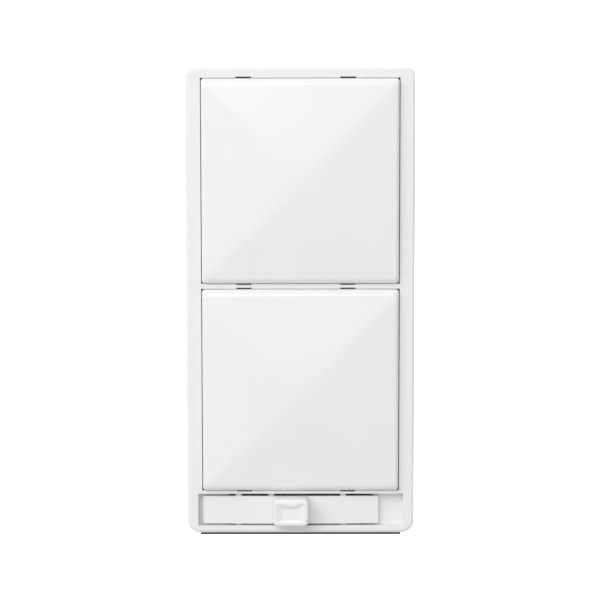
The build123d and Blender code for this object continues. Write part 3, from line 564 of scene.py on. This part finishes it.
# The CAD nodes that keep their own shape: each slot's finish, made by one call when it is needed.
CARRIED_FINISHES = {
    "carrier_plastic": lambda: plain_moulding("natural_acetal", "#E4E3DE", 0.45, 1.48),
    "housing_plastic": lambda: spark_textured_nylon(
        "glass_filled_nylon", bpy.context.scene.dimmer_finish.housing_grey),
    "pin_steel": lambda: worked_metal("drawn_steel", "#B9B9BB", 0.3, (1, 8, 8), 0.4 * MM, 0.002 * MM),
    "zinc_screw_steel": lambda: worked_metal("zinc_plated_steel", "#C4C6C9", 0.28, (1, 1, 1), 0.3 * MM,
                                             0.004 * MM),
    "spring_steel": lambda: worked_metal("rolled_spring_steel", "#A9ABAE", 0.3, (6, 1, 6), 0.5 * MM,
                                         0.003 * MM),
    "contact_brass": lambda: worked_metal("milled_brass", "#C9A55A", 0.3, (1, 6, 1), 0.4 * MM, 0.004 * MM),
    "spreader_aluminium": lambda: worked_metal("mill_finish_aluminium", "#C8C9CB", 0.38, (1, 1, 12),
                                               0.8 * MM, 0.004 * MM),
    "can_aluminium": lambda: worked_metal("drawn_can_aluminium", "#C2C4C8", 0.32, (1, 10, 1), 0.6 * MM,
                                          0.003 * MM),
    "choke_copper": lambda: plain_moulding("enamelled_copper", "#A8552A", 0.22, 1.55),
    "ferrite": lambda: plain_moulding("sintered_ferrite", "#34353A", 0.6, 1.6, 0.2 * MM),
    "fuse_ceramic": lambda: plain_moulding("glazed_steatite", "#DDD8CC", 0.18, 1.55),
    "varistor_lacquer": lambda: plain_moulding("dipped_epoxy_lacquer", "#24538F", 0.25, 1.55),
    "insulator_sheet": lambda: plain_moulding("filled_silicone_sheet", "#7E8389", 0.6, 1.42),
    "part_plastic_black": lambda: plain_moulding("black_epoxy_moulding", "#1A1A1B", 0.5, 1.55),
    "part_plastic_blue": lambda: plain_moulding("blue_relay_case", "#22467E", 0.3, 1.54),
    "part_plastic_yellow": lambda: plain_moulding("yellow_capacitor_case", "#C9A62E", 0.32, 1.54),
    "board_laminate": laminate_with_mask,
    "dome_silicone": moulded_silicone,
}


def dress(nodes):
    """Gives carried CAD nodes the finish of their slot, one material for each slot."""
    slots = {entry["node"]: entry["material_slot"] for entry in frame["record"]["subparts"]}
    made = {}
    for node in nodes:
        slot = slots[node]
        if slot not in made:
            made[slot] = CARRIED_FINISHES[slot]()
        mesh = frame["nodes"][node].data
        mesh.materials.clear()
        mesh.materials.append(made[slot])


# ------------------------------------------------------------------------------------ the bezel
def opening_loop(half_x, low_z, high_z, slots=(), width=0.0, depth=0.0):
    """An opening's anticlockwise outline: a rectangle with square core slots above and below."""
    lower, upper = [], []
    for x in slots:
        left, right = x - width / 2, x + width / 2
        lower += [(left, low_z), (left, low_z - depth), (right, low_z - depth), (right, low_z)]
        upper += [(left, high_z), (left, high_z + depth), (right, high_z + depth), (right, high_z)]
    return np.array([(-half_x, low_z), *lower, (half_x, low_z), (half_x, high_z), *upper[::-1],
                     (-half_x, high_z)])


def opening_wall(loop, lip, face_y, back_y):
    """An opening's wall: a rounded lip, then straight back. Returns the patch and its loop in the face."""
    turn = np.linspace(math.pi / 2, 0, 6)
    spread = np.concatenate([[lip * LIP_JOIN_SHARE], lip * (1 - np.cos(turn)), [0.0]])
    depth = np.concatenate([[face_y], face_y + lip * (1 - np.sin(turn)), [back_y]])
    loops = np.stack([offset_loop(loop, s) for s in spread])
    return ring_stack(loops, depth), loops[0]


def bezel_patches(settings):
    """The bezel as flat panels joined by swept edges: the shell, the openings' walls, and the trough
    with the boss behind it."""
    face_y, rim_y = BEZEL_LOW.y, BEZEL_HIGH.y
    half_x = (BEZEL_HIGH.x - BEZEL_LOW.x) / 2
    half_z = (BEZEL_HIGH.z - BEZEL_LOW.z) / 2
    inner_x, inner_z = half_x - SIDE_WALL, half_z - END_WALL
    under_y, floor_y, trough_back_y = face_y + FACE_THICKNESS, face_y + TROUGH_DEPTH, face_y + TROUGH_BACK
    radii = np.array([settings.top_corner] * 2 + [settings.bottom_corner] * 2)

    inset, rise = quarter_round(settings.edge_radius, steps=12)
    outer_inset = np.concatenate([[RIM_BEVEL, 0.0], inset, [inset[-1] + JOIN]])
    outer_y = np.concatenate([[rim_y, rim_y - RIM_BEVEL], face_y + settings.edge_radius - rise, [face_y]])
    outer_radii = np.maximum(radii - outer_inset[:, None], SMALLEST_CORNER)
    outer = rounded_loops(half_x - outer_inset, half_z - outer_inset, outer_radii)
    cavity_x = np.array([inner_x - JOIN, inner_x, inner_x])
    cavity_z = np.array([inner_z - JOIN, inner_z, inner_z])
    cavity = rounded_loops(cavity_x, cavity_z, CAVITY_CORNER)
    shell = ring_stack(np.concatenate([cavity, outer]), np.concatenate([[under_y, under_y, rim_y], outer_y]))

    patches = [shell]
    face_holes, back_holes = [], []
    for node in KEY_NODES:
        low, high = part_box(node)
        gap = settings.end_gap
        loop = opening_loop(high.x + settings.key_gap, low.z - gap, high.z + gap, CORE_SLOTS,
                            settings.slot_width, settings.slot_depth)
        wall, lip_loop = opening_wall(loop, settings.lip_radius, face_y, under_y)
        patches.append(wall)
        face_holes.append(lip_loop)
        back_holes.append(loop)
    trough = trough_loop()
    wall, lip_loop = opening_wall(trough, settings.lip_radius, face_y, floor_y)
    patches.append(wall)
    face_holes.append(lip_loop)
    slot = floor_slot_loop()
    patches.append(ring_stack(np.stack([trough, slot]), [floor_y, floor_y]))
    patches.append(ring_stack(np.stack([slot, slot]), [floor_y, trough_back_y]))
    boss = opening_loop(inner_x - BOSS_INSET, -inner_z + BOSS_INSET, trough[:, 1].max() + BOSS_LEDGE)
    patches.append(ring_stack(np.stack([boss, boss]), [trough_back_y, under_y]))
    patches.append(ring_stack(np.stack([slot, boss]), [trough_back_y, trough_back_y]))
    patches.append(flat_panel(outer[-1], face_holes, face_y, True))
    patches.append(flat_panel(cavity[0], [*back_holes, boss], under_y, False))
    return patches


def trough_loop():
    """The slide opening's outline, from the strip's place and the gaps round it."""
    top = STRIP_TOP + STRIP_GAP
    return opening_loop(TROUGH_HALF_WIDTH, top - TROUGH_HEIGHT, top)


def floor_slot_loop():
    """The slot in the trough's floor, in which the strip's stem runs."""
    top = STRIP_TOP + STRIP_GAP - SLOT_LEDGE
    return opening_loop(SLOT_HALF_WIDTH, top - TROUGH_HEIGHT + 2 * SLOT_LEDGE, top)


# ------------------------------------------------------------------------------------ the keys
def key_patches(node, settings):
    """A hollow key cap: its profile, from the middle of the underside round to the crown, is carried
    round a rounded rectangle.

    On the crown a loop at share q of the way out has half sizes q*a and q*b, and its depth is
    edge - crown*(1 - s), where s = (sqrt(q*q + e*e) - e)/(sqrt(1 + e*e) - e) rounds the very top
    over a share e. The loops' corners grow from the corner radius to the crease radius.
    """
    low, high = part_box(node)
    half_x, half_z = (high.x - low.x) / 2, (high.z - low.z) / 2
    middle = (low.z + high.z) / 2
    back_y = BEZEL_LOW.y + KEY_BACK
    edge_y = BEZEL_LOW.y - KEY_PROUD
    top_y = edge_y - settings.crown
    inner_y = edge_y + CAP_THICKNESS
    radius = settings.edge_radius
    slope = math.atan(settings.crown / (half_x - radius))
    side_y = edge_y + radius * math.cos(slope)
    inset, rise = quarter_round(radius, steps=14, end=math.pi / 2 - slope)
    edge_inset = inset[-1]

    wall = settings.wall
    inner_inset = np.array([*(half_x * np.array(UNDERSIDE_SHARES)), wall + INNER_CHAMFER, wall, wall,
                            SKIRT_CHAMFER, 0.0])
    inner_depth = np.array([inner_y, inner_y, inner_y, inner_y + INNER_CHAMFER, back_y, back_y,
                            back_y - SKIRT_CHAMFER])

    share = np.concatenate([np.linspace(*span) for span in CROWN_LOOPS])
    soft_share = np.sqrt(share ** 2 + PEAK_SHARE ** 2) - PEAK_SHARE
    soft_share = soft_share / (math.sqrt(1 + PEAK_SHARE ** 2) - PEAK_SHARE)
    crown_depth = edge_y - settings.crown * (1 - soft_share)

    insets = np.concatenate([inner_inset, inset])
    narrow = settings.side_share
    side_insets = np.concatenate([inner_inset, inset * narrow])
    end_insets = np.minimum(insets, half_z * LARGEST_INSET_SHARE)
    xs = np.concatenate([half_x - side_insets, (half_x - edge_inset * narrow) * share])
    zs = np.concatenate([half_z - end_insets, (half_z - edge_inset) * share])
    depths = np.concatenate([inner_depth, side_y - rise, crown_depth])

    travelled = np.concatenate([insets, half_x - (half_x - edge_inset) * share])
    grow = np.clip(travelled / CREASE_REACH, 0, 1)
    corner = settings.corner_radius + (settings.crease_radius - settings.corner_radius) * grow
    corner = np.minimum(corner, LARGEST_CORNER_SHARE * np.minimum(xs, zs))
    loops = rounded_loops(xs, zs, corner[:, None], arc=10, side=18)
    return [ring_stack(loops, depths, (0.0, middle), inner_y, top_y)]


# ------------------------------------------------------------------------------------ the slide
def bowed_depth(x, half, front_y, bow):
    """The strip's face: Y = front + bow*(x/half)^2, so that its ends lie back by the bow."""
    return front_y + bow * (x / half) ** 2


def strip_patches(settings):
    """The strip: a bowed plate with rounded edges, its stem, and the nubs that guide its edges."""
    middle_x = (STRIP_LOW.x + STRIP_HIGH.x) / 2
    half_x = (STRIP_HIGH.x - STRIP_LOW.x) / 2
    half_z = STRIP_HALF_HEIGHT
    middle_z = STRIP_TOP - half_z
    front_y, back_y = BEZEL_LOW.y + STRIP_FRONT, BEZEL_LOW.y + STRIP_BACK
    radius = settings.strip_edge
    inset, rise = quarter_round(radius, steps=7)
    flat = np.linspace(inset[-1], half_z, 8)[1:]
    insets = np.concatenate([[half_z, JOIN, 0.0, 0.0], inset[1:], flat])
    corner = np.minimum(np.maximum(STRIP_CORNER - insets, SHARPEST_CORNER), half_z - insets)
    loops = rounded_loops(half_x - insets, half_z - insets, corner[:, None], arc=6, side=60)
    face = bowed_depth(loops[..., 0], half_x, front_y, settings.bow)
    drop = np.concatenate([radius - rise[1:], np.zeros(len(flat))])
    depths = np.empty_like(face)
    depths[:3] = np.array([back_y, back_y, back_y - JOIN])[:, None]
    depths[3] = face[3] + radius
    depths[4:] = face[4:] + drop[:, None]
    patches = [ring_stack(loops, depths, (middle_x, middle_z))]

    for place, side in NUBS:
        reach = NUB_TOP if side > 0 else NUB_BOTTOM
        centre = (middle_x + place, back_y - NUB_DEPTH / 2, middle_z + side * half_z)
        patches.append(capsule_box(centre, (NUB_WIDTH, NUB_DEPTH, 2 * reach), NUB_EDGE))

    stem_depth = BEZEL_LOW.y + STEM_BACK - back_y
    centre = (middle_x, back_y + stem_depth / 2, middle_z)
    patches.append(capsule_box(centre, (STEM_WIDTH, stem_depth, STEM_HEIGHT), STEM_EDGE))
    return patches


def knob_front(u, v, front_y, depth):
    """The knob's dished front as Y over u from -1 to 1 across and v from 0 at the top to 1 below.

    The dish starts at v = top + sag*(1 - (u/reach)^2) and falls by a smooth step. From there it
    comes back gently by a share of its depth, then wholly by a smooth step, which makes the lower
    lip. Beyond its flat middle it fades out to the sides by another smooth step.
    """
    start = DISH_TOP + DISH_SAG * (1 - (u / DISH_SAG_REACH) ** 2)
    fall = smooth_step((v - start) / DISH_FALL)
    gentle = np.clip((v - start - DISH_FALL) / DISH_RETURN_REACH, 0, 1)
    lip = smooth_step((v - LIP_START) / LIP_RISE)
    across = 1 - smooth_step((np.abs(u) - DISH_FLAT) / DISH_FADE)
    return front_y + depth * fall * (1 - DISH_RETURN * gentle) * (1 - lip) * across


def smooth_step(t):
    """3t^2 - 2t^3 between 0 and 1."""
    t = np.clip(t, 0, 1)
    return t * t * (3 - 2 * t)


def knob_patches(settings):
    """The knob: sides narrowed by 1 - w*(z/h)^2 towards its ends, a rounded edge and the dished front."""
    middle_x = (KNOB_LOW.x + KNOB_HIGH.x) / 2
    middle_z = (KNOB_LOW.z + KNOB_HIGH.z) / 2
    half_x, half_z = (KNOB_HIGH.x - KNOB_LOW.x) / 2, (KNOB_HIGH.z - KNOB_LOW.z) / 2
    front_y, back_y = KNOB_LOW.y, KNOB_HIGH.y
    radius = settings.knob_edge
    inset, rise = quarter_round(radius, steps=8)
    share = np.linspace(*KNOB_LOOPS)
    insets = np.concatenate([[half_z * KNOB_BACK_SHARE, KNOB_REAR_EDGE, 0.0, 0.0], inset[1:]])
    edge_taper = KNOB_TAPER + EDGE_TAPER * np.arange(1, len(inset)) / len(inset)
    taper = np.concatenate([[0, 0, 0, KNOB_TAPER], edge_taper])
    front_x = half_x - inset[-1] - taper[-1]
    front_z = half_z - inset[-1] - taper[-1] * TAPER_ABOVE
    xs = np.concatenate([half_x - insets - taper, front_x * share])
    zs = np.concatenate([half_z - insets - taper * TAPER_ABOVE, front_z * share])
    corner = np.minimum(KNOB_CORNER, KNOB_CORNER_SHARE * np.minimum(xs, zs))
    loops = rounded_loops(xs, zs, corner[:, None], arc=8, side=26)
    bulge = 1 - KNOB_WAIST * (loops[..., 1] / half_z) ** 2
    loops[..., 0] *= bulge
    u = loops[..., 0] / (half_x * bulge)
    v = 0.5 - loops[..., 1] / (2 * half_z)
    front = knob_front(u, v, front_y, settings.dish_depth)
    depths = np.empty_like(front)
    depths[:3] = np.array([back_y, back_y, back_y - KNOB_REAR_EDGE])[:, None]
    depths[3] = front_y + radius
    lift = np.concatenate([radius - rise[1:], np.zeros(len(share))])
    depths[4:] = front[4:] + lift[:, None]
    middle_y = float(knob_front(np.zeros(1), np.full(1, 0.5), front_y, settings.dish_depth)[0])
    return [ring_stack(loops, depths, (middle_x, middle_z), back_y, middle_y)]


# ------------------------------------------------------------------------------------ operators
class DIMMER_OT_bezel(Operator):
    """Make the bezel: the frame with its two key openings and the slide's trough"""
    bl_idname = "dimmer.bezel"
    bl_label = "Make bezel"

    def execute(self, context):
        patches = bezel_patches(context.scene.dimmer_bezel)
        make_piece("bezel", patches, "housing", white_carbonate("bezel"), ["bezel_frame"])
        return {"FINISHED"}


class DIMMER_OT_keys(Operator):
    """Make the two key caps, each a shallow four-sided pyramid"""
    bl_idname = "dimmer.keys"
    bl_label = "Make keys"

    def execute(self, context):
        material = white_carbonate("key")
        for node in KEY_NODES:
            patches = key_patches(node, context.scene.dimmer_keys)
            make_piece(f"{node}_cap", patches, node, material, [node])
        return {"FINISHED"}


class DIMMER_OT_slide(Operator):
    """Make the slide's strip and its finger knob"""
    bl_idname = "dimmer.slide"
    bl_label = "Make slide"

    def execute(self, context):
        settings = context.scene.dimmer_slide
        material = white_carbonate("slide")
        make_piece("strip", strip_patches(settings), "slider", material, ["slide_strip"])
        make_piece("knob", knob_patches(settings), "slider", material, ["slide_knob"])
        return {"FINISHED"}


class DIMMER_OT_dressing(Operator):
    """Give every piece that keeps its CAD shape its own finish"""
    bl_idname = "dimmer.dressing"
    bl_label = "Finish the carried pieces"

    def execute(self, context):
        remade = {"bezel_frame", *KEY_NODES, "slide_strip", "slide_knob"}
        dress(sorted(set(frame["nodes"]) - remade))
        return {"FINISHED"}


def soft_light(name, power, place, target, size):
    """A rectangular soft light at place that points at target."""
    data = bpy.data.lights.new(name, "AREA")
    data.shape = "RECTANGLE"
    data.size, data.size_y = size
    data.energy = power
    lamp = bpy.data.objects.new(name, data)
    lamp.location = place
    lamp.rotation_euler = (Vector(target) - Vector(place)).to_track_quat("-Z", "Y").to_euler()
    bpy.context.scene.collection.objects.link(lamp)


def stage_plane(name, corners, material):
    """A flat stage surface through four corners, which neither lights, shades nor shows in the object."""
    mesh = bpy.data.meshes.new(name)
    mesh.from_pydata(corners, [], [(0, 1, 2, 3)])
    mesh.materials.append(material)
    surface = bpy.data.objects.new(name, mesh)
    bpy.context.scene.collection.objects.link(surface)
    surface.visible_diffuse = False
    surface.visible_glossy = False
    surface.visible_transmission = False
    surface.visible_shadow = False


def level_corners(left, right, front, back, z):
    """The corners of a level rectangle."""
    return [(left, front, z), (right, front, z), (right, back, z), (left, back, z)]


def paper(name, colour, glow):
    """Matt studio paper. A glow is light of its own, which keeps white paper pale in the shade."""
    material, tree, place = blank(name)
    base = tint(tree, place, grain=30 * MM, first=colour, second=shade(colour, 0.99))
    shader = add(tree, "ShaderNodeBsdfPrincipled", [("Base Color", base, 2)],
                 {"Roughness": 0.9, "Emission Color": linear(colour), "Emission Strength": glow})
    close(tree, shader)
    return material


class DIMMER_OT_stage(Operator):
    """Make the floor, the backdrop, the lights and the camera"""
    bl_idname = "dimmer.stage"
    bl_label = "Make stage"

    def execute(self, context):
        settings = context.scene.dimmer_studio
        scene = context.scene
        floor_z = BEZEL_LOW.z - settings.floor_drop
        bright = paper("lit_paper", "#FFFFFF", PAPER_GLOW)
        painted_shadow_front = BEZEL_LOW.y + PAINTED_SHADOW_FRONT
        painted_shadow_corners = level_corners(-PAINTED_SHADOW_HALF_WIDTH, PAINTED_SHADOW_HALF_WIDTH, painted_shadow_front, BEZEL_HIGH.y, floor_z)
        # The shade strip is a painted contact shadow: dark grey paper laid where only shade falls under the
        # bezel's lower edge.
        stage_plane("shade", painted_shadow_corners, paper("painted_contact_shadow_paper", "#6A6A6A", 0.0))
        ground = level_corners(-FLOOR_REACH, FLOOR_REACH, -FLOOR_REACH, BACKDROP_Y, floor_z - PAINTED_SHADOW_LIFT)
        stage_plane("floor", ground, bright)
        upright = [(-FLOOR_REACH, BACKDROP_Y, floor_z), (FLOOR_REACH, BACKDROP_Y, floor_z),
                   (FLOOR_REACH, BACKDROP_Y, BACKDROP_TOP), (-FLOOR_REACH, BACKDROP_Y, BACKDROP_TOP)]
        stage_plane("backdrop", upright, bright)

        world = bpy.data.worlds.new("studio")
        world.use_nodes = True
        world.node_tree.nodes["Background"].inputs["Color"].default_value = (1, 1, 1, 1)
        world.node_tree.nodes["Background"].inputs["Strength"].default_value = settings.fill
        scene.world = world
        soft_light("main_light", settings.key_power, MAIN_LIGHT_PLACE, MAIN_LIGHT_AIM, MAIN_LIGHT_SIZE)
        back_aim = (*BACK_LIGHT_AIM, floor_z)
        soft_light("back_light", settings.back_power, BACK_LIGHT_PLACE, back_aim, BACK_LIGHT_SIZE)

        data = bpy.data.cameras.new("camera")
        data.sensor_width = SENSOR_WIDTH
        data.lens = settings.lens
        data.clip_start = NEAR_LIMIT
        camera = bpy.data.objects.new("camera", data)
        target = Vector((AIM_X, BEZEL_LOW.y, AIM_Z))
        back_off = Vector((0, -math.cos(settings.elevation), math.sin(settings.elevation)))
        camera.location = target + back_off * settings.distance
        level = Matrix.Rotation(math.pi / 2 - settings.elevation, 3, "X")
        camera.rotation_euler = (level @ Matrix.Rotation(settings.roll, 3, "Z")).to_euler()
        scene.collection.objects.link(camera)
        scene.camera = camera
        scene.view_settings.view_transform = "Standard"
        return {"FINISHED"}


OPERATORS = (DIMMER_OT_stage, DIMMER_OT_bezel, DIMMER_OT_keys, DIMMER_OT_slide, DIMMER_OT_dressing)
SETTINGS = {
    "dimmer_bezel": BezelSettings,
    "dimmer_keys": KeySettings,
    "dimmer_slide": SlideSettings,
    "dimmer_finish": FinishSettings,
    "dimmer_studio": StudioSettings,
}


class DIMMER_PT_panel(Panel):
    """Lists the dimmer's pieces and settings in the sidebar"""
    bl_idname = "DIMMER_PT_panel"
    bl_label = "Dimmer"
    bl_space_type = "VIEW_3D"
    bl_region_type = "UI"
    bl_category = "Dimmer"

    def draw(self, context):
        for operator in OPERATORS:
            self.layout.operator(operator.bl_idname)
        for name in SETTINGS:
            group = getattr(context.scene, name)
            box = self.layout.box()
            for key in group.bl_rna.properties.keys():
                if key not in ("rna_type", "name"):
                    box.prop(group, key)


def register():
    for group in SETTINGS.values():
        bpy.utils.register_class(group)
    for name, group in SETTINGS.items():
        setattr(bpy.types.Scene, name, PointerProperty(type=group))
    for operator in OPERATORS:
        bpy.utils.register_class(operator)
    bpy.utils.register_class(DIMMER_PT_panel)


def unregister():
    bpy.utils.unregister_class(DIMMER_PT_panel)
    for operator in reversed(OPERATORS):
        bpy.utils.unregister_class(operator)
    for name, group in reversed(SETTINGS.items()):
        delattr(bpy.types.Scene, name)
        bpy.utils.unregister_class(group)


def main():
    """Registers the add-on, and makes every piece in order."""
    register()
    bpy.ops.dimmer.stage()
    bpy.ops.dimmer.bezel()
    bpy.ops.dimmer.keys()
    bpy.ops.dimmer.slide()
    bpy.ops.dimmer.dressing()


if __name__ == "__main__":
    main()
